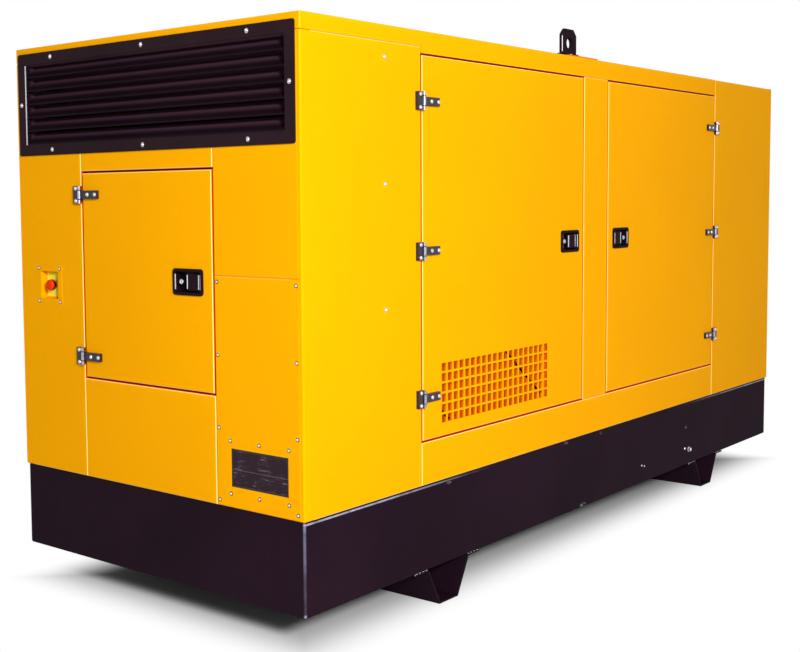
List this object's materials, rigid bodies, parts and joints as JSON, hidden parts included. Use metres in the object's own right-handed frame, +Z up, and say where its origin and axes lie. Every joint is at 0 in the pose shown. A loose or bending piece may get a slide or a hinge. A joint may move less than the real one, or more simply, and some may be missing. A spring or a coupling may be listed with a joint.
{
  "type": "diesel generator",
  "caption": "Diesel generator in a yellow sound-proof canopy with hinged doors, louvred ends and lifting lugs, on a black skid base with folded feet.",
  "frame": {"origin": "on the ground under the middle of the set", "axes": "+X from the control end to the radiator end, the front long side faces -Y, +Z up"},
  "size_m": [3.9295, 1.477, 2.159],
  "materials": {
    "canopy_yellow": "gloss",
    "base_black": "satin",
    "louvre_black": "satin",
    "hinge_black": "satin",
    "latch_black": "satin",
    "flap_rubber": "matte",
    "stop_red": "gloss",
    "zinc_plated": "satin"
  },
  "bodies": {
    "housing": {"control_end_roof": "canopy_yellow", "centre_roof": "canopy_yellow", "radiator_end_roof": "canopy_yellow", "control_side_panel_front": "canopy_yellow", "control_side_panel_rear": "canopy_yellow", "radiator_side_panel_front": "canopy_yellow", "radiator_side_panel_rear": "canopy_yellow", "door_posts": "canopy_yellow", "door_sills": "canopy_yellow", "door_stops": "canopy_yellow", "emergency_stop_panel": "canopy_yellow", "cable_upper_panel": "canopy_yellow", "cable_access_panel": "canopy_yellow", "end_door_header": "canopy_yellow", "end_door_sill": "canopy_yellow", "radiator_end_wall": "canopy_yellow", "lug_doublers": "canopy_yellow", "rear_door_a": "canopy_yellow", "rear_door_b": "canopy_yellow", "emergency_stop_box": "canopy_yellow", "base_side_rails": "base_black", "base_end_rails": "base_black", "fuel_tank": "base_black", "feet": "base_black", "lifting_lugs": "base_black", "control_louvre_frame": "louvre_black", "control_louvre_blades": "louvre_black", "radiator_louvre_frame": "louvre_black", "radiator_louvre_blades": "louvre_black", "hinge_brackets": "hinge_black", "rear_door_fittings": "hinge_black", "cable_outlet_flaps": "flap_rubber", "louvre_bolts": "zinc_plated"},
    "side_door_a": {"side_door_a": "canopy_yellow", "side_door_a_baffle": "canopy_yellow", "side_door_a_hinge_leaves": "hinge_black", "side_door_a_latch": "latch_black"},
    "side_door_b": {"side_door_b": "canopy_yellow", "side_door_b_hinge_leaves": "hinge_black", "side_door_b_latch": "latch_black"},
    "end_door": {"end_door": "canopy_yellow", "end_door_hinge_leaves": "hinge_black", "end_door_latch": "latch_black"},
    "side_door_a_paddle": {"side_door_a_paddle": "latch_black"},
    "side_door_b_paddle": {"side_door_b_paddle": "latch_black"},
    "end_door_paddle": {"end_door_paddle": "latch_black"},
    "emergency_stop_button": {"emergency_stop_button": "stop_red"}
  },
  "joints": [
    {"name": "side_door_a_hinge", "type": "hinge", "parent": "housing", "child": "side_door_a", "pos_m": [-1.319, -0.732, 1.285], "axis": [0, 0, -1], "range_deg": [0, 120]},
    {"name": "side_door_b_hinge", "type": "hinge", "parent": "housing", "child": "side_door_b", "pos_m": [1.184, -0.732, 1.285], "axis": [0, 0, 1], "range_deg": [0, 120]},
    {"name": "end_door_hinge", "type": "hinge", "parent": "housing", "child": "end_door", "pos_m": [-1.962, 0.343, 1.1975], "axis": [0, 0, -1], "range_deg": [0, 110]},
    {"name": "side_door_a_paddle_pull", "type": "hinge", "parent": "side_door_a", "child": "side_door_a_paddle", "pos_m": [-0.227, -0.715, 1.286], "axis": [0, 0, 1], "range_deg": [0, 45], "stiffness_Nm_per_rad": 0.4},
    {"name": "side_door_b_paddle_pull", "type": "hinge", "parent": "side_door_b", "child": "side_door_b_paddle", "pos_m": [0.116, -0.715, 1.286], "axis": [0, 0, -1], "range_deg": [0, 45], "stiffness_Nm_per_rad": 0.4},
    {"name": "end_door_paddle_pull", "type": "hinge", "parent": "end_door", "child": "end_door_paddle", "pos_m": [-1.945, -0.265, 1.195], "axis": [0, 0, 1], "range_deg": [0, 45], "stiffness_Nm_per_rad": 0.4},
    {"name": "emergency_stop_push", "type": "slide", "parent": "housing", "child": "emergency_stop_button", "axis": [1, 0, 0], "range_m": [0, 0.0045], "stiffness_N_per_m": 3000}
  ]
}
